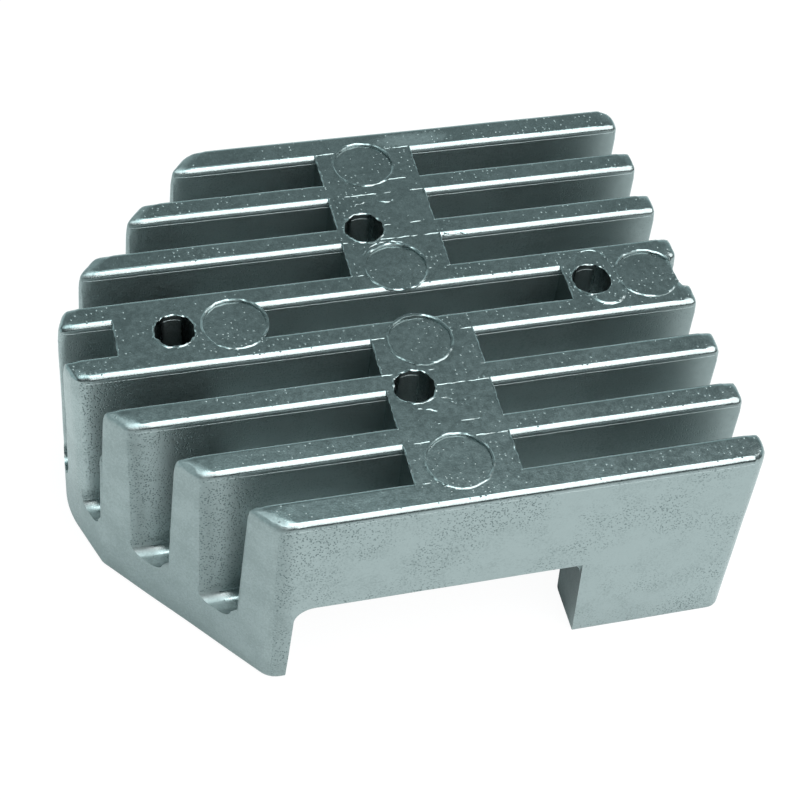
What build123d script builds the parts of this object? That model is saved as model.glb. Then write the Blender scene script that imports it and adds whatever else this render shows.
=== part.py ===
from build123d import *
from math import cos, radians, tan
import os

# A sacrificial anode, die cast in one piece. It stands on its feet with the fins up.
# +X runs along the fins to the square end, +Y to the back, +Z up. The origin is the
# middle of the footprint, on the plane of the feet. All sizes are in millimetres.

# Overall form, measured at the feet.
length = 123.0
width = 96.2
height = 47.0

# The left end in plan: a straight chamfer, a flank and a rounded nose, alike front and back.
# At the tops the shoulder between chamfer and flank is set back into the slot beside it.
shoulder_setback = 0.45
chamfer_angle = 40.4
flank_angle = 20.6
nose_radius = 20.0
chamfer_corner_radius = 4.5
shoulder_radius = 1.6
square_corner_radius = 3.2

# Draft of the outer walls.
side_draft = 1.1
end_draft = 1.3
chamfer_draft = 1.5

# Fins and the slots between them. The slots run deep at the left, and shallow over the channel.
outer_fin_width = 8.7
slot_count = 7
slot_width = 7.1
slot_draft = 1.0
slot_depth = 20.0
slot_root_radius = 2.0
deep_slot_depth = 35.6
deep_slot_root_radius = 2.4
deep_slot_wall = 5.0
fin_edge_radius = 1.2

# Channel under the casting, open at the front, the back and the square end. It starts a
# little to the right of the chamfer's corner.
channel_height = 22.0
channel_setback = 3.1
channel_right_x = 30.2
channel_draft = 3.5
channel_radius = 4.0
foot_edge_radius = 1.2
foot_depth = 12.4
foot_corner_radius = 3.0
notch_depth = 1.0

# Webs that tie the fins together round the holes.
cross_web_x = 5.6
cross_web_length = 19.6
web_draft = 1.0
left_web_x = -50.0
right_web_x = 36.3
right_web_setback = 1.9

# Mounting holes, set out in a diamond.
bolt_centre_x = 1.1
bolt_spacing_x = 80.6
bolt_spacing_y = 40.8
hole_diameter = 8.0

# Ejector marks and the witness mark of an insert, on the tops.
ejector_diameter = 12.0
ejector_depth = 0.4
ejector_column_x = 4.9
ejector_inner_y = 9.4
ejector_outer_y = 38.0
ejector_left_x = -28.0
ejector_right_x = 52.7
witness_x = 43.1
witness_y = 0.5
witness_angle = 97.0
witness_spacing = 7.4
witness_width = 6.4
witness_rise = 0.2

# Worked out from the sizes above. The outer walls lean by these amounts per unit of height,
# so the shoulder drifts outwards from the tops to the feet.
half_length = length / 2
half_width = width / 2
fin_pitch = (width - outer_fin_width) / slot_count
chamfer_slope = tan(radians(chamfer_angle))
flank_slope = tan(radians(flank_angle))
nose_apex_x = -half_length - nose_radius * (1 / cos(radians(flank_angle)) - 1)
flank_lean = tan(radians(end_draft)) / cos(radians(flank_angle))
chamfer_lean = tan(radians(chamfer_draft)) / cos(radians(chamfer_angle))
shoulder_drift = height * (chamfer_lean - flank_lean) / (chamfer_slope - flank_slope)
foot_shoulder_y = fin_pitch + slot_width / 2 - shoulder_setback + shoulder_drift
foot_shoulder_x = nose_apex_x + foot_shoulder_y * flank_slope
chamfer_start_x = foot_shoulder_x + (half_width - foot_shoulder_y) * chamfer_slope
channel_left_x = chamfer_start_x + channel_setback
slot_floor = height - slot_depth
deep_slot_floor = height - deep_slot_depth
deep_slot_end_x = channel_left_x - deep_slot_wall
channel_top_right_x = channel_right_x - channel_height * tan(radians(channel_draft))
ejector_radius = ejector_diameter / 2
boss_radius = ejector_radius + 0.1
right_web_end_x = half_length - height * tan(radians(end_draft)) - right_web_setback
flush_web_width = slot_width + 2.2 * fin_edge_radius
clear = 5.0


with BuildPart() as anode:
    # The block, from its plan at the feet to its plan at the tops, each wall with its draft.
    for z in (0, height):
        side_y = half_width - z * tan(radians(side_draft))
        end_x = half_length - z * tan(radians(end_draft))
        apex_x = nose_apex_x + z * flank_lean
        chamfer_x = chamfer_start_x + z * chamfer_lean
        corner_x = chamfer_x - (half_width - side_y) * chamfer_slope
        shoulder_y = (corner_x - side_y * chamfer_slope - apex_x) / (flank_slope - chamfer_slope)
        shoulder_x = apex_x + shoulder_y * flank_slope
        with BuildSketch(Plane.XY.offset(z)) as plan:
            with BuildLine():
                Polyline(
                    (end_x, -side_y),
                    (end_x, side_y),
                    (corner_x, side_y),
                    (shoulder_x, shoulder_y),
                    (apex_x, 0),
                    (shoulder_x, -shoulder_y),
                    (corner_x, -side_y),
                    close=True,
                )
            make_face()
            fillet(plan.vertices().sort_by(Axis.X)[-2:], square_corner_radius)
            chamfer_corners = plan.vertices().filter_by(lambda v: abs(v.X - corner_x) < 0.01)
            fillet(chamfer_corners, chamfer_corner_radius)
            shoulders = plan.vertices().filter_by(lambda v: abs(v.X - shoulder_x) < 0.01)
            fillet(shoulders, shoulder_radius)
            fillet(plan.vertices().sort_by(Axis.X)[0], nose_radius)
    loft(ruled=True)

    # Slots with drafted sides and round roots, deep in the left block, shallow to its right.
    mouth_width = slot_width + 2 * clear * tan(radians(slot_draft))
    for start_x, stop_x, floor_z, root_radius in (
        (-half_length - clear, deep_slot_end_x, deep_slot_floor, deep_slot_root_radius),
        (deep_slot_end_x, half_length + clear, slot_floor, slot_root_radius),
    ):
        slot_height = height + clear - floor_z
        with BuildSketch(Plane.YZ.offset(start_x)) as slots:
            with Locations((0, floor_z)):
                with GridLocations(fin_pitch, 1, slot_count, 1):
                    Trapezoid(
                        mouth_width,
                        slot_height,
                        90 + slot_draft,
                        align=(Align.CENTER, Align.MIN),
                    )
            fillet(slots.vertices().group_by(Axis.Z)[0], root_radius)
        extrude(amount=stop_x - start_x, mode=Mode.SUBTRACT)

    # Rounds along the tops of the fins.
    fillet(anode.faces().filter_by(Axis.Z).group_by(Axis.Z)[-1].edges(), fin_edge_radius)

    # Webs across the outer slots and along the middle slot, flush with the tops.
    with BuildSketch(Plane.XY.offset(height)) as cross_webs:
        with Locations((cross_web_x, 0)):
            with GridLocations(1, fin_pitch, 1, slot_count):
                Rectangle(cross_web_length, flush_web_width)
            Rectangle(cross_web_length + 1, fin_pitch, mode=Mode.SUBTRACT)
    extrude(amount=slot_floor - slot_root_radius - height, taper=-web_draft)
    with BuildSketch(Plane.XY.offset(height)) as left_web:
        with Locations((left_web_x, 0)):
            Rectangle(
                ejector_left_x - left_web_x,
                flush_web_width,
                align=(Align.MIN, Align.CENTER),
            )
        with Locations((ejector_left_x, 0)):
            Circle(boss_radius)
    extrude(amount=deep_slot_floor - deep_slot_root_radius - height, taper=-web_draft)
    with BuildSketch(Plane.XY.offset(height)) as right_web:
        with Locations((right_web_x, 0)):
            Rectangle(
                right_web_end_x - right_web_x,
                flush_web_width,
                align=(Align.MIN, Align.CENTER),
            )
    extrude(amount=slot_floor - slot_root_radius - height, taper=-web_draft)

    # The channel under the casting, a T in plan that leaves a foot at each square corner.
    with BuildSketch() as channel:
        with Locations((channel_left_x, 0)):
            Rectangle(
                channel_right_x - channel_left_x,
                width + 2 * clear,
                align=(Align.MIN, Align.CENTER),
            )
            Rectangle(
                half_length + clear - channel_left_x,
                width - 2 * foot_depth,
                align=(Align.MIN, Align.CENTER),
            )
        foot_line = channel.vertices().filter_by(lambda v: abs(v.X - channel_right_x) < 0.01)
        fillet(foot_line.sort_by(Axis.Y)[1:-1], foot_corner_radius)
    extrude(amount=channel_height, taper=channel_draft, mode=Mode.SUBTRACT)
    level_faces = anode.faces().filter_by(Axis.Z)
    ceiling = level_faces.filter_by(lambda f: abs(f.center().Z - channel_height) < 0.01)
    inner_edges = (
        ceiling.edges()
        .filter_by_position(Axis.Y, -half_width + 2, half_width - 2)
        .filter_by_position(Axis.X, -half_length, half_length - 2)
    )
    fillet(inner_edges, channel_radius)

    # The round along the foot of the left block, up to the channel.
    left_foot = level_faces.filter_by(lambda f: abs(f.center().Z) < 0.01).sort_by(Axis.X)[0]
    fillet(left_foot.edges().sort_by(Axis.X)[:-1], foot_edge_radius)

    # The square-cornered notch beside each right foot, in the front and the back face.
    notch_base_x = channel_top_right_x + channel_radius * tan(radians(channel_draft))
    notch_cut = notch_depth + channel_height * tan(radians(side_draft))
    for side in (1, -1):
        with BuildSketch(Plane.XZ.offset(side * half_width)) as notch:
            with BuildLine():
                Polyline(
                    (channel_top_right_x - channel_radius, channel_height),
                    (channel_top_right_x, channel_height),
                    (notch_base_x, channel_height - channel_radius),
                    close=True,
                )
            make_face()
        extrude(amount=-side * notch_cut, mode=Mode.SUBTRACT)

    # The witness pad of an insert, across the two fins beside the right hole.
    with BuildSketch(Plane.XY.offset(height + witness_rise)) as witness:
        with Locations((witness_x, witness_y)):
            SlotCenterToCenter(witness_spacing, witness_width, rotation=witness_angle)
    extrude(amount=-witness_rise - fin_edge_radius)

    # Ejector marks, sunk a little into the tops.
    with BuildSketch(Plane.XY.offset(height - ejector_depth)) as marks:
        with Locations(
            (ejector_column_x, -ejector_outer_y),
            (ejector_column_x, -ejector_inner_y),
            (ejector_column_x, ejector_inner_y),
            (ejector_column_x, ejector_outer_y),
            (ejector_left_x, 0),
            (ejector_right_x, 0),
        ):
            Circle(ejector_radius)
    extrude(amount=clear, mode=Mode.SUBTRACT)

    # Mounting holes, right through.
    with BuildSketch() as holes:
        with Locations((bolt_centre_x, 0)):
            with Locations(
                (-bolt_spacing_x / 2, 0),
                (bolt_spacing_x / 2, 0),
                (0, -bolt_spacing_y / 2),
                (0, bolt_spacing_y / 2),
            ):
                Circle(hole_diameter / 2)
    extrude(amount=height + clear, mode=Mode.SUBTRACT)

anode.part.label = "anode_casting"
os.makedirs("parts", exist_ok=True)
export_step(anode.part, "parts/anode_casting.step")
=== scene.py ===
import bmesh
import bpy
from math import radians, tau
from mathutils import Matrix, Vector, noise


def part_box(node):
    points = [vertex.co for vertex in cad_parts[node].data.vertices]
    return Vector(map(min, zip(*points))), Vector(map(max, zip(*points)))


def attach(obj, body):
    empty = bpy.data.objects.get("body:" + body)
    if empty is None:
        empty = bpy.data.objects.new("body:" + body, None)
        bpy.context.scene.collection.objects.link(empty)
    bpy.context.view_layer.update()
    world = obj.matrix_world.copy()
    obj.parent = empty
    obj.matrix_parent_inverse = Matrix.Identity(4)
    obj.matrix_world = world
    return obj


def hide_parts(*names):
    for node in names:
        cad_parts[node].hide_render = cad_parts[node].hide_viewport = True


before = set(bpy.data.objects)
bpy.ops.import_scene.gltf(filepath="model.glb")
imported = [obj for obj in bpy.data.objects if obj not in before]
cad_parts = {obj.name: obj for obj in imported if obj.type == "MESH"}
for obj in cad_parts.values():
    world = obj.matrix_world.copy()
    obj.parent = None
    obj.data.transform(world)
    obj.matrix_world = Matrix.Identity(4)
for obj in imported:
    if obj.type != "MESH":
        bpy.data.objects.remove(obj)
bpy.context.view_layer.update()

# The anode casting: one block of aluminium, die cast with its fins, webs and feet, and left
# as it came out of the die. It stands loose on its feet. Its skin is the solid's own, cut
# into small faces that take up the slow waves of the metal.
skin_cell = 0.003
flat_angle = radians(0.3)
plane_margin = 5e-5
wave_height = 0.00005
wave_length = 0.012
noise.seed_set(1)

skin = bmesh.new()
skin.from_mesh(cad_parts["anode_casting"].data)
bmesh.ops.remove_doubles(skin, verts=skin.verts, dist=1e-6)
bmesh.ops.dissolve_limit(skin, angle_limit=flat_angle, verts=skin.verts, edges=skin.edges)


def cut(geometry, point, normal):
    """A plane cut through some of the skin."""
    bmesh.ops.bisect_plane(
        skin, geom=geometry, dist=plane_margin, plane_co=point, plane_no=normal
    )


low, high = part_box("anode_casting")
for axis in range(3):
    cut_normal = Vector((0, 0, 0))
    cut_normal[axis] = 1
    cut_at = low[axis] + skin_cell
    while cut_at < high[axis] - skin_cell / 2:
        cut(skin.verts[:] + skin.edges[:] + skin.faces[:], cut_normal * cut_at, cut_normal)
        cut_at += skin_cell

# The ends of the fins. In plan the chamfer and the flank of the rounded end meet at the
# shoulder, and the other end is square. Every wall leans by its draft.
shoulder_x = -0.0559
shoulder_y = 0.0156
chamfer_normal = (0.7615, 0.6481)
flank_normal = (0.936, 0.352)
square_end_x = 0.0604
square_corner_x = 0.06043
chamfer_lean = 0.0262
end_lean = 0.0227
wall_lean = 0.01746
top_z = 0.047
slot_pitch = 0.0125
slot_half_width = 0.00355
outer_slot = 3
left_root_z = 0.0145
right_root_z = 0.0295


def wall_depth(place, normal):
    """How far a point lies inside the chamfer or the flank, as they are at the tops."""
    along, across = normal
    return along * (place.x - shoulder_x) + across * (shoulder_y - abs(place.y))


def end_depth(place):
    """How far a point lies inside the walls of the rounded end and the square end."""
    chamfer = wall_depth(place, chamfer_normal)
    flank = wall_depth(place, flank_normal)
    return min(chamfer, flank, square_end_x - place.x)


def cut_near_ends(reach, point, normal):
    """A plane cut through the faces near the ends of the fins."""
    faces = [face for face in skin.faces if end_depth(face.calc_center_median()) < reach]
    edges = dict.fromkeys(edge for face in faces for edge in face.edges)
    verts = dict.fromkeys(vert for face in faces for vert in face.verts)
    cut(list(verts) + list(edges) + faces, point, normal)


# Finer cuts along the end walls, beside the slots and under the tops.
end_reach = 0.006
corner_reach = 0.0028
for depth in (0.0005, 0.001, 0.0016, 0.0023, 0.003):
    cut_near_ends(end_reach, Vector((square_end_x - depth, 0, 0)), Vector((1, 0, 0)))
    for side in (-1, 1):
        shoulder = Vector((shoulder_x, side * shoulder_y, 0))
        for along, across in (chamfer_normal, flank_normal):
            away = Vector((-along, side * across, 0))
            cut_near_ends(end_reach, shoulder - away * depth, away)
for slot in range(-outer_slot, outer_slot + 1):
    for step in (0.0007, 0.0013, 0.002):
        for side in (-1, 1):
            wall_y = slot * slot_pitch + side * (slot_half_width + step)
            cut_near_ends(corner_reach, Vector((0, wall_y, 0)), Vector((0, 1, 0)))
for cut_z in (0.0426, 0.0431, 0.0436, 0.0441, 0.0446, 0.0451, 0.0456):
    cut_near_ends(corner_reach, Vector((0, 0, cut_z)), Vector((0, 0, 1)))

# Upright corners rounded in plan: tight where a fin ends in a point, wide where it is blunt.
pointed_radius = 0.0009
square_radius = 0.001
blunt_radius = 0.003
for vert in skin.verts:
    spot = vert.co
    root_z = left_root_z if spot.x < 0 else right_root_z
    if end_depth(spot) > 0.0045 or spot.z < root_z:
        continue
    below = top_z - spot.z
    side = 1 if spot.y > 0 else -1
    chamfer_gap = wall_depth(spot, chamfer_normal) + chamfer_lean * below
    flank_gap = wall_depth(spot, flank_normal) + end_lean * below
    outward, end_gap = min(
        (Vector((-chamfer_normal[0], side * chamfer_normal[1])), chamfer_gap),
        (Vector((-flank_normal[0], side * flank_normal[1])), flank_gap),
        (Vector((1, 0)), square_corner_x - spot.x + end_lean * below),
        key=lambda wall: wall[1],
    )
    slot = max(-outer_slot, min(outer_slot, round(spot.y / slot_pitch)))
    off_centre = spot.y - slot * slot_pitch
    to_slot = Vector((0, -1 if off_centre > 0 else 1))
    wall_gap = abs(off_centre) - slot_half_width + wall_lean * below
    slant = outward.dot(to_slot)
    radius = pointed_radius if slant < -0.1 else square_radius if slant < 0.1 else blunt_radius
    end_part = (radius - end_gap - slant * (radius - wall_gap)) / (1 - slant * slant)
    wall_part = (radius - wall_gap - slant * (radius - end_gap)) / (1 - slant * slant)
    arm = outward * end_part + to_slot * wall_part
    if end_part > 0 and wall_part > 0 and arm.length > radius:
        moved = spot.xy - arm + arm.normalized() * radius
        vert.co = Vector((moved.x, moved.y, spot.z))


def mend(shell):
    """Takes out tangled faces and points where holes touch, and closes the holes."""
    crowded = [edge for edge in shell.edges if len(edge.link_faces) > 2]
    tangled = dict.fromkeys(face for edge in crowded for face in edge.link_faces)
    bmesh.ops.delete(shell, geom=list(tangled), context="FACES")
    pinched = True
    while pinched:
        pinched = [v for v in shell.verts if sum(e.is_boundary for e in v.link_edges) > 2]
        bmesh.ops.delete(shell, geom=pinched, context="VERTS")
    bare = [edge for edge in shell.edges if not edge.link_faces]
    bmesh.ops.delete(shell, geom=bare, context="EDGES")
    bare = [vert for vert in shell.verts if not vert.link_faces]
    bmesh.ops.delete(shell, geom=bare, context="VERTS")
    rims = [edge for edge in shell.edges if edge.is_boundary]
    bmesh.ops.edgeloop_fill(shell, edges=rims)


# The corners melted together, smoothed more the nearer they are to the tops, and waved.
merge_gap = 0.00025
near = [v for v in skin.verts if end_depth(v.co) < 0.0033 and v.co.z > 0.042]
bmesh.ops.remove_doubles(skin, verts=near, dist=merge_gap)
mend(skin)
for step in range(9):
    lowest = 0.0437 + step * 0.0003
    soft = [v for v in skin.verts if end_depth(v.co) < 0.0027 and v.co.z > lowest]
    bmesh.ops.smooth_vert(
        skin, verts=soft, factor=0.5, use_axis_x=True, use_axis_y=True, use_axis_z=True
    )
for vert in skin.verts:
    vert.co += wave_height * noise.noise_vector(vert.co / wave_length)
skin.normal_update()

# Round places on the tops, in millimetres: the ejector marks and the mouths of the holes.
# Ridges that aren't full rings stay clear of them, and none runs past the right web's end.
marks = [(4.9, -38), (4.9, -9.4), (4.9, 9.4), (4.9, 38), (-28, 0), (52.7, 0)]
mouths = [(1.1, -20.4), (1.1, 20.4), (-39.2, 0), (41.4, 0)]
kept_clear = [(Vector((x, y, 47)) / 1000, 0.0063) for x, y in marks]
kept_clear += [(Vector((x, y, 47)) / 1000, 0.0041) for x, y in mouths]
web_end_x = 0.0582
highest = 0.04718
ragged_length = 0.0011
lift_length = 0.004


def ridge(start, thickness, steps, ragged, lift, centre, turn=0, travel=(0, 0, 0)):
    """A thin ragged ridge of metal on the tops, spun round a centre or drawn along a line."""
    rod = bmesh.new()
    bmesh.ops.create_circle(rod, cap_ends=False, segments=6, radius=thickness)
    across = Vector(travel).cross(Vector((0, 0, 1))) if turn == 0 else start - centre
    heading = across.to_2d().angle_signed(Vector((1, 0)), 0.0)
    upright = Matrix.Rotation(tau / 4, 4, "X")
    stand = Matrix.Translation(start) @ Matrix.Rotation(heading, 4, "Z")
    bmesh.ops.transform(rod, verts=rod.verts, matrix=stand @ upright)
    bmesh.ops.spin(
        rod,
        geom=rod.verts[:] + rod.edges[:],
        cent=centre,
        axis=(0, 0, 1),
        dvec=Vector(travel) / steps,
        angle=turn,
        steps=steps,
        use_merge=turn == tau,
        use_duplicate=False,
    )
    for vert in rod.verts:
        vert.co += ragged * noise.noise_vector(vert.co / ragged_length)
        vert.co.z += lift * (noise.noise(vert.co / lift_length) - 0.15)
        vert.co.z = min(vert.co.z, highest)
    if turn != tau:
        inside = [v for v in rod.verts if any((v.co - m).length < r for m, r in kept_clear)]
        bmesh.ops.delete(rod, geom=inside, context="VERTS")
    beyond = [v for v in rod.verts if v.co.x > web_end_x]
    bmesh.ops.delete(rod, geom=beyond, context="VERTS")
    mend(rod)
    bmesh.ops.recalc_face_normals(rod, faces=rod.faces)
    rod_mesh = bpy.data.meshes.new("ridge")
    rod.to_mesh(rod_mesh)
    rod.free()
    skin.from_mesh(rod_mesh)
    bpy.data.meshes.remove(rod_mesh)


# Rims round the ejector marks.
ridge_z = 0.04698
for x, y in marks:
    middle = Vector((x / 1000, y / 1000, ridge_z))
    start = middle + Vector((0.0061, 0, 0))
    ridge(start, 0.00027, 96, 0.00013, 0.00018, middle, turn=tau)

# Flash round the mouths of the holes, which eats a little into them.
for x, y in mouths:
    middle = Vector((x / 1000, y / 1000, ridge_z))
    start = middle + Vector((0.00398, 0, 0))
    ridge(start, 0.00024, 80, 0.0003, 0.00006, middle, turn=tau)

# Seams on the webs: along the fins' edges, sunk a little, and across at the webs' own edges.
for slot in (-3, -2, -1, 1, 2, 3):
    for side, sunk in ((-1, 0.00008), (1, 0.00003)):
        start = Vector((-0.0042, slot * slot_pitch + side * 0.0044, ridge_z - sunk))
        ridge(start, 0.00011, 60, 0.00014, 0.00022, start, travel=(0.0196, 0, 0))
    for x in (-0.0041, 0.0153):
        start = Vector((x, slot * slot_pitch - 0.0044, ridge_z))
        ridge(start, 0.00018, 30, 0.00018, 0.00026, start, travel=(0, 0.0088, 0))
for x in (-0.0499, 0.0364):
    start = Vector((x, -0.0042, ridge_z))
    ridge(start, 0.00018, 30, 0.00014, 0.00016, start, travel=(0, 0.0084, 0))

# The rim of the witness pad beside the right hole: two round ends and the sides between.
pad_turn = radians(7)
pad_reach = 0.00334
for x, y, way, thickness in ((42.65, 4.17, 1, 0.0003), (43.55, -3.17, -1, 0.00048)):
    middle = Vector((x / 1000, y / 1000, ridge_z + 0.0003 - thickness))
    arm = Matrix.Rotation(pad_turn, 3, "Z") @ Vector((way * pad_reach, 0, 0))
    ridge(middle + arm, thickness, 40, 0.00012, 0.00004, middle, turn=radians(180))
    side_line = Vector((0.0009, -0.00734, 0)) * way
    ridge(middle - arm, 0.00022, 40, 0.00012, 0.00004, middle, travel=side_line)

# Cold laps: short curls of metal where the flow met, beside the front hole and at the back.
# Each has its centre and reach in millimetres, and its first angle and turn in degrees.
for x, y, reach, first_angle, turn in (
    (0.3, -31.5, 6.0, 38, 50),
    (0.6, -31.9, 6.3, 42, 30),
    (2.6, -34.0, 10.7, 47, 36),
    (2.9, -34.4, 10.4, 55, 14),
    (1.6, 28.6, 1.6, 220, 90),
    (7.0, 29.4, 2.6, 225, 80),
    (4.9, 9.4, 6.9, 95, 50),
    (4.9, 9.4, 6.6, 60, 30),
    (18.4, 20.6, 4.4, 240, 50),
    (18.0, 11.6, 4.9, 60, 55),
):
    middle = Vector((x / 1000, y / 1000, ridge_z - 0.00006))
    arm = Matrix.Rotation(radians(first_angle), 3, "Z") @ Vector((reach / 1000, 0, 0))
    ridge(middle + arm, 0.00016, 36, 0.00022, 0.00012, middle, turn=radians(turn))

# The finished skin, shaded smooth up to its sharp edges.
sharp_angle = radians(28)
for face in skin.faces:
    face.smooth = True
for edge in skin.edges:
    edge.smooth = edge.calc_face_angle(0.0) < sharp_angle
skin_mesh = bpy.data.meshes.new("casting_skin")
skin.to_mesh(skin_mesh)
skin.free()
casting = bpy.data.objects.new("casting_skin", skin_mesh)
bpy.context.scene.collection.objects.link(casting)
weights = casting.modifiers.new("weights", "WEIGHTED_NORMAL")
weights.keep_sharp = True

cast_metal = bpy.data.materials.new("cast_metal")
cast_metal.use_nodes = True
nodes = cast_metal.node_tree.nodes
links = cast_metal.node_tree.links
shader = nodes["Principled BSDF"]
shader.inputs["Metallic"].default_value = 1.0
surface = nodes.new("ShaderNodeTexCoord")


def combine(sort, first, second=None, third=None):
    """One sum on one to three values or sockets of the material at hand."""
    node = nodes.new("ShaderNodeMath")
    node.operation = sort
    for socket, value in zip(node.inputs, (first, second, third)):
        if value is None:
            continue
        if isinstance(value, (int, float)):
            socket.default_value = value
        else:
            links.new(value, socket)
    return node.outputs[0]


def ramp(value, start, stop, low_end=0.0, high_end=1.0):
    """A soft step from one level to another."""
    node = nodes.new("ShaderNodeMapRange")
    node.interpolation_type = "SMOOTHSTEP"
    node.inputs["From Min"].default_value = start
    node.inputs["From Max"].default_value = stop
    node.inputs["To Min"].default_value = low_end
    node.inputs["To Max"].default_value = high_end
    links.new(value, node.inputs["Value"])
    return node.outputs["Result"]


def grain(scale, detail, roughness=0.5):
    """Fractal noise on the casting's own coordinates."""
    node = nodes.new("ShaderNodeTexNoise")
    node.inputs["Scale"].default_value = scale
    node.inputs["Detail"].default_value = detail
    node.inputs["Roughness"].default_value = roughness
    links.new(surface.outputs["Object"], node.inputs["Vector"])
    return node.outputs["Fac"]


def relief(height, distance, beneath=None):
    """Bumps of a given height, on top of the bumps beneath them."""
    node = nodes.new("ShaderNodeBump")
    node.inputs["Distance"].default_value = distance
    links.new(height, node.inputs["Height"])
    if beneath is not None:
        links.new(beneath, node.inputs["Normal"])
    return node.outputs["Normal"]


def parts_of(vector):
    """The three parts of a direction or a place."""
    node = nodes.new("ShaderNodeSeparateXYZ")
    links.new(vector, node.inputs["Vector"])
    return node.outputs


# Where the skin lies and faces: the tops, the long walls along the fins, the walls inside
# the slots, and how far a place lies inside the chamfer of the rounded end.
facing = parts_of(surface.outputs["Normal"])
position = parts_of(surface.outputs["Object"])
is_top = ramp(facing["Z"], 0.9, 0.98)
is_wall = ramp(combine("ABSOLUTE", facing["Y"]), 0.85, 0.97)
in_slots = combine("MULTIPLY", ramp(position["Y"], -0.0462, -0.045), is_wall)
along, across = chamfer_normal
shoulder_depth = across * shoulder_y - along * shoulder_x
off_middle = combine("ABSOLUTE", position["Y"])
chamfer_depth = combine("MULTIPLY_ADD", position["X"], along, shoulder_depth)
chamfer_depth = combine("MULTIPLY_ADD", off_middle, -across, chamfer_depth)

# Tint: faint clouds on a fine mottle, with the long walls a little lighter as painted
# light, and painted shade darker towards the open ends of the slots.
clouds = combine("MULTIPLY", grain(160, 3), 0.5)
mottle_and_painted_light = combine("MULTIPLY_ADD", grain(2600, 2), 0.6, clouds)
# Painted light: the long walls a little lighter than the tops.
mottle_and_painted_light = combine("MULTIPLY_ADD", is_wall, 0.12, mottle_and_painted_light)
# Painted shade: the walls in the slots darker towards their open ends.
open_end_painted_shade = combine("MULTIPLY", in_slots, ramp(position["X"], 0.025, 0.05))
mottle_and_painted_light = combine("MULTIPLY_ADD", open_end_painted_shade, -0.35, mottle_and_painted_light)
tint = nodes.new("ShaderNodeMix")
tint.data_type = "RGBA"
tint.inputs["A"].default_value = (0.395, 0.445, 0.445, 1)
tint.inputs["B"].default_value = (0.495, 0.55, 0.55, 1)
links.new(ramp(mottle_and_painted_light, 0.4, 0.7), tint.inputs["Factor"])

# A pale cold lap on the rear fin: an oval with a ragged edge.
lap_place = nodes.new("ShaderNodeVectorMath")
lap_place.operation = "MULTIPLY_ADD"
links.new(surface.outputs["Object"], lap_place.inputs[0])
lap_place.inputs[1].default_value = (110, 420, 0)
lap_place.inputs[2].default_value = (-1.76, -18.4, 0)
lap_reach = nodes.new("ShaderNodeVectorMath")
lap_reach.operation = "LENGTH"
links.new(lap_place.outputs[0], lap_reach.inputs[0])
lap = combine("ADD", lap_reach.outputs["Value"], combine("MULTIPLY", grain(900, 4), 1.6))
lap = combine("MULTIPLY", ramp(lap, 1.3, 1.9, 1.0, 0.0), is_top)

# Gloss: the walls a little duller than the tops, more so in the slots, and the corners of
# the rounded end rubbed dull.
rubbed = combine("MULTIPLY_ADD", grain(700, 3), -0.0012, chamfer_depth)
rubbed = ramp(rubbed, 0.0, 0.0022, 0.26, 0.0)
gloss = combine("MULTIPLY_ADD", is_wall, 0.17, ramp(grain(900, 2), 0.3, 0.7, 0.2, 0.26))
gloss = combine("MULTIPLY_ADD", in_slots, 0.05, gloss)
gloss = combine("MULTIPLY_ADD", lap, 0.16, gloss)
links.new(combine("ADD", gloss, rubbed), shader.inputs["Roughness"])

# Pits on the long walls, as the die left them. They lie in drifts, thicker to the left, and
# are few inside the slots but for the front slots' left ends.
warp = nodes.new("ShaderNodeTexNoise")
warp.inputs["Scale"].default_value = 900
links.new(surface.outputs["Object"], warp.inputs["Vector"])
warped = nodes.new("ShaderNodeVectorMath")
warped.operation = "MULTIPLY_ADD"
links.new(warp.outputs["Color"], warped.inputs[0])
warped.inputs[1].default_value = (0.0002, 0.0002, 0.0002)
links.new(surface.outputs["Object"], warped.inputs[2])
pit_field = nodes.new("ShaderNodeTexVoronoi")
pit_field.inputs["Scale"].default_value = 2100
links.new(warped.outputs[0], pit_field.inputs["Vector"])
pit = ramp(pit_field.outputs["Distance"], 0.18, 0.42, 1.0, 0.0)
leftward = ramp(position["X"], -0.015, -0.04, 0.0, 0.15)
drift = ramp(combine("ADD", grain(75, 4, 0.6), leftward), 0.4, 0.62)
inner = combine("MAXIMUM", ramp(chamfer_depth, 0.007, 0.012), ramp(position["Y"], -0.005, 0.005))
clean = combine("MULTIPLY", inner, in_slots)
drift = combine("MULTIPLY", drift, combine("MULTIPLY_ADD", clean, -0.65, 1.0))
pit = combine("MULTIPLY", combine("MULTIPLY", pit, drift), is_wall)
# Painted shade: the pits' colour mixed darker, as shade in the hollows.
pit_painted_shade = nodes.new("ShaderNodeMix")
pit_painted_shade.data_type = "RGBA"
pit_painted_shade.inputs["B"].default_value = (0.13, 0.18, 0.185, 1)
links.new(combine("MULTIPLY", pit, 0.75), pit_painted_shade.inputs["Factor"])
links.new(tint.outputs["Result"], pit_painted_shade.inputs["A"])
links.new(pit_painted_shade.outputs["Result"], shader.inputs["Base Color"])

# The parting line, a fine step just under the rounds of the fins. Over it lie the skin's
# fine grain, its shallow ripples and the pits.
parting_z = combine("MULTIPLY_ADD", grain(500, 3), 0.0003, position["Z"])
parting_step = combine("MULTIPLY", ramp(parting_z, 0.0457, 0.04582, 1.0, 0.0), is_wall)
skin_height = combine("MULTIPLY_ADD", pit, -1.0, combine("MULTIPLY", grain(3200, 2), 0.2))
skin_height = combine("MULTIPLY_ADD", grain(420, 2), 0.5, skin_height)
skin_relief = relief(skin_height, 0.00005, relief(parting_step, 0.00011))

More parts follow.
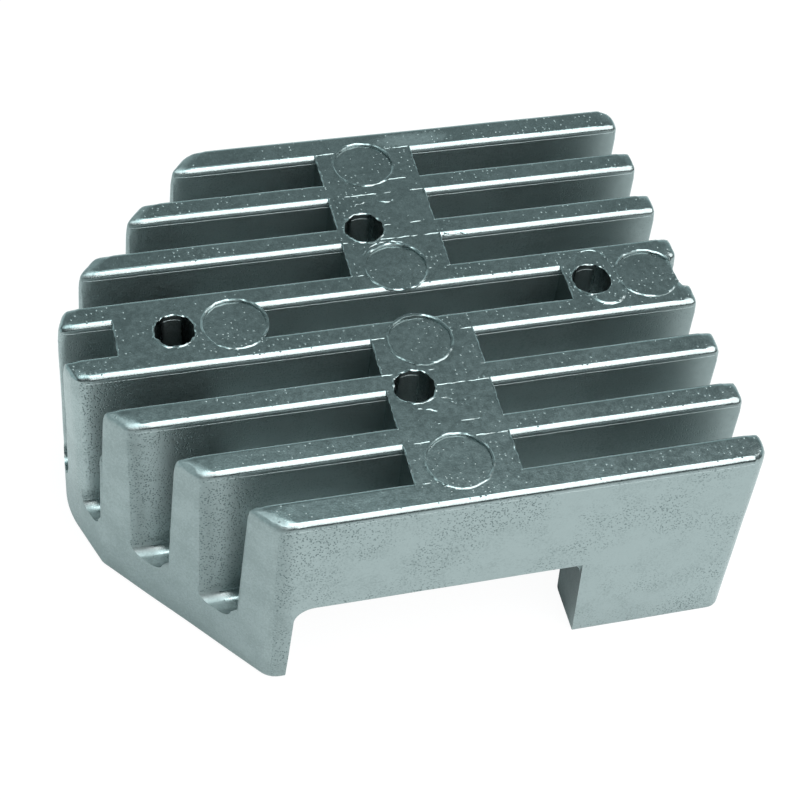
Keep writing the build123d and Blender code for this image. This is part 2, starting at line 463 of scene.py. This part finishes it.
# Specks: grains of metal that stand up on the tops and catch the light, in crowds.
speck_field = nodes.new("ShaderNodeTexVoronoi")
speck_field.voronoi_dimensions = "2D"
speck_field.inputs["Scale"].default_value = 1050
links.new(surface.outputs["Object"], speck_field.inputs["Vector"])
speck_pick = nodes.new("ShaderNodeSeparateColor")
links.new(speck_field.outputs["Color"], speck_pick.inputs["Color"])
crowd = ramp(grain(60, 2), 0.4, 0.65, 0.88, 0.6)
lucky = combine("MULTIPLY", combine("SUBTRACT", speck_pick.outputs["Red"], crowd), 1.5)
speck_size = combine("MINIMUM", lucky, 0.22)
speck = combine("SUBTRACT", speck_size, speck_field.outputs["Distance"])
speck = combine("MULTIPLY", combine("MAXIMUM", speck, 0.0), is_top)
links.new(relief(speck, 0.00072, skin_relief), shader.inputs["Normal"])

skin_mesh.materials.append(cast_metal)
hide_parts("anode_casting")
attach(casting, "root")

# The table top under the casting: a plain white sheet of card, laid flat, which runs out of
# view on every side. To the camera it is plain white with a trace of the casting's shadow.
table_top = bmesh.new()
bmesh.ops.create_grid(table_top, x_segments=1, y_segments=1, size=3.0)
bmesh.ops.translate(table_top, verts=table_top.verts, vec=(0, 0, -0.0002))
table_mesh = bpy.data.meshes.new("table_top")
table_top.to_mesh(table_mesh)
table_top.free()
table = bpy.data.objects.new("table_top", table_mesh)
bpy.context.scene.collection.objects.link(table)

white_sheet = bpy.data.materials.new("white_sheet")
white_sheet.use_nodes = True
nodes = white_sheet.node_tree.nodes
links = white_sheet.node_tree.links
nodes.clear()
output = nodes.new("ShaderNodeOutputMaterial")
matt = nodes.new("ShaderNodeBsdfDiffuse")
matt.inputs["Color"].default_value = (0.85, 0.85, 0.85, 1)
glow = nodes.new("ShaderNodeEmission")
glow.inputs["Strength"].default_value = 1.1
rays = nodes.new("ShaderNodeLightPath").outputs
seen = combine("MAXIMUM", rays["Is Camera Ray"], rays["Is Transmission Ray"])
straight = nodes.new("ShaderNodeMixShader")
links.new(combine("MULTIPLY", seen, 0.86), straight.inputs["Fac"])
links.new(matt.outputs[0], straight.inputs[1])
links.new(glow.outputs[0], straight.inputs[2])

# Mirrored in the metal, the sheet glows bright round the casting, with painted shade that
# dims it towards the front of the room and a painted shadow that keeps it dark under the
# footprint.
half_length = 0.0615
half_width = 0.048
sheet = nodes.new("ShaderNodeTexCoord")
sheet_place = parts_of(sheet.outputs["Object"])
beyond_x = combine("DIVIDE", combine("ABSOLUTE", sheet_place["X"]), half_length)
beyond_y = combine("DIVIDE", combine("ABSOLUTE", sheet_place["Y"]), half_width)
# Painted shadow: the mirrored glow held dark under and near the casting's footprint.
footprint_painted_shadow = ramp(combine("MAXIMUM", beyond_x, beyond_y), 0.85, 1.3)
mirror_glow = nodes.new("ShaderNodeEmission")
mirror_glow.inputs["Color"].default_value = (0.88, 1.0, 1.0, 1)
# Painted shade: the mirrored glow dimmer towards the front of the room.
front_painted_shade = ramp(sheet_place["Y"], -0.4, -0.12, 0.17, 0.9)
links.new(front_painted_shade, mirror_glow.inputs["Strength"])
mirror_share = combine("MULTIPLY", rays["Is Glossy Ray"], footprint_painted_shadow)
mirrored = nodes.new("ShaderNodeMixShader")
links.new(combine("MULTIPLY", mirror_share, 0.75), mirrored.inputs["Fac"])
links.new(straight.outputs[0], mirrored.inputs[1])
links.new(mirror_glow.outputs[0], mirrored.inputs[2])
links.new(mirrored.outputs[0], output.inputs["Surface"])
table_mesh.materials.append(white_sheet)

# The overhead lamp: a wide soft box hung over the right of the table, tipped a little so
# that it shines from the front.
lamp_data = bpy.data.lights.new("overhead_lamp", "AREA")
lamp_data.shape = "RECTANGLE"
lamp_data.size = 0.9
lamp_data.size_y = 1.1
lamp_data.energy = 6.8
lamp_data.color = (0.97, 1.0, 1.0)
lamp = bpy.data.objects.new("overhead_lamp", lamp_data)
lamp_tip = Matrix.Rotation(radians(22), 4, "X")
lamp.matrix_world = lamp_tip @ Matrix.Translation((0.38, 0, 0.72))
bpy.context.scene.collection.objects.link(lamp)

# The room: bright low down behind the table, dim higher up and dark in front, with a pale
# wall to the left and a ceiling brighter towards the lamp. The camera sees plain white.
world = bpy.data.worlds.new("studio")
bpy.context.scene.world = world
world.use_nodes = True
nodes = world.node_tree.nodes
links = world.node_tree.links
nodes.clear()
output = nodes.new("ShaderNodeOutputWorld")
look = nodes.new("ShaderNodeTexCoord")
way = parts_of(look.outputs["Generated"])
behind = ramp(way["Z"], 0.05, 0.8, 0.7, 0.15)
room = nodes.new("ShaderNodeMix")
room.data_type = "FLOAT"
room.inputs["A"].default_value = 0.1
links.new(ramp(way["Y"], -0.35, 0.15), room.inputs["Factor"])
links.new(behind, room.inputs["B"])
left_wall = ramp(way["X"], -0.8, -0.45, 0.6, 0.0)
ceiling = ramp(way["Z"], 0.78, 1.0, 0.0, 1.5)
ceiling = combine("MULTIPLY", ceiling, ramp(way["X"], -0.45, -0.05, 0.2, 1.0))
lit = combine("ADD", combine("MAXIMUM", room.outputs["Result"], left_wall), ceiling)
dim_room = nodes.new("ShaderNodeBackground")
dim_room.inputs["Color"].default_value = (0.75, 1.0, 1.02, 1)
links.new(lit, dim_room.inputs["Strength"])
plain_white = nodes.new("ShaderNodeBackground")
plain_white.inputs["Color"].default_value = (1, 1, 1, 1)
rays = nodes.new("ShaderNodeLightPath").outputs
backdrop = nodes.new("ShaderNodeMixShader")
links.new(rays["Is Camera Ray"], backdrop.inputs["Fac"])
links.new(dim_room.outputs[0], backdrop.inputs[1])
links.new(plain_white.outputs[0], backdrop.inputs[2])
links.new(backdrop.outputs[0], output.inputs["Surface"])

# The camera, where the photograph was taken from: in front and to the left, looking down.
camera_data = bpy.data.cameras.new("camera")
camera_data.lens = 79.69
camera_data.sensor_width = 36
camera_data.clip_start = 0.01
camera = bpy.data.objects.new("camera", camera_data)
looking = Vector((0.2112, 0.6048, -0.7679)).normalized()
rightward = looking.cross(Vector((0.1314, 0.7609, 0.6354))).normalized()
upward = rightward.cross(looking)
aim = Matrix((rightward, upward, -looking)).transposed().to_4x4()
aim.translation = Vector((-0.06921, -0.21484, 0.29065))
camera.matrix_world = aim
bpy.context.scene.collection.objects.link(camera)
bpy.context.scene.camera = camera
bpy.context.scene.view_settings.view_transform = "Standard"
